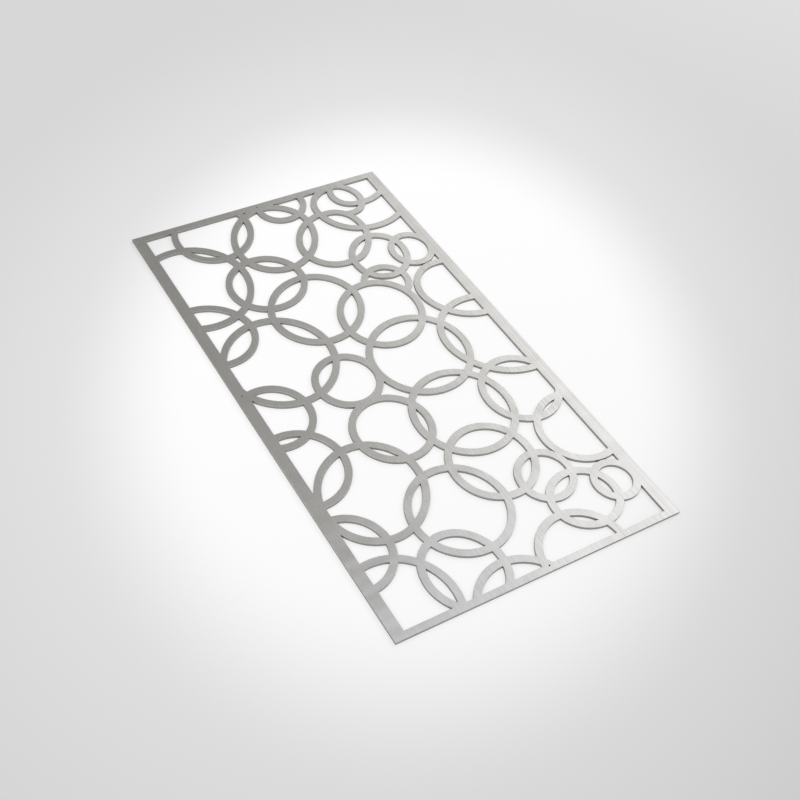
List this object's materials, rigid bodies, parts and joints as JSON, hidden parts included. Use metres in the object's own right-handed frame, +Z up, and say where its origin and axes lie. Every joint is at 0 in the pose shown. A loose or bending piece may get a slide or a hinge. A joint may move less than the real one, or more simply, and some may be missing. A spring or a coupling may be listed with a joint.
{
  "type": "laser-cut metal screen",
  "caption": "Flat laser-cut metal screen: a rectangular border filled with a lattice of overlapping rings, for dividing a room or as an infill that lets light through.",
  "frame": {"origin": "middle of the plate's underside", "axes": "X across the width, +Y along the length from the near end to the far end, +Z up through the thickness, out of the face that shows"},
  "size_m": [0.6, 1.08, 0.006],
  "materials": {
    "brushed_plate": "satin, brushed along the length"
  },
  "bodies": {
    "root": {"screen_panel": "brushed_plate"}
  },
  "joints": []
}
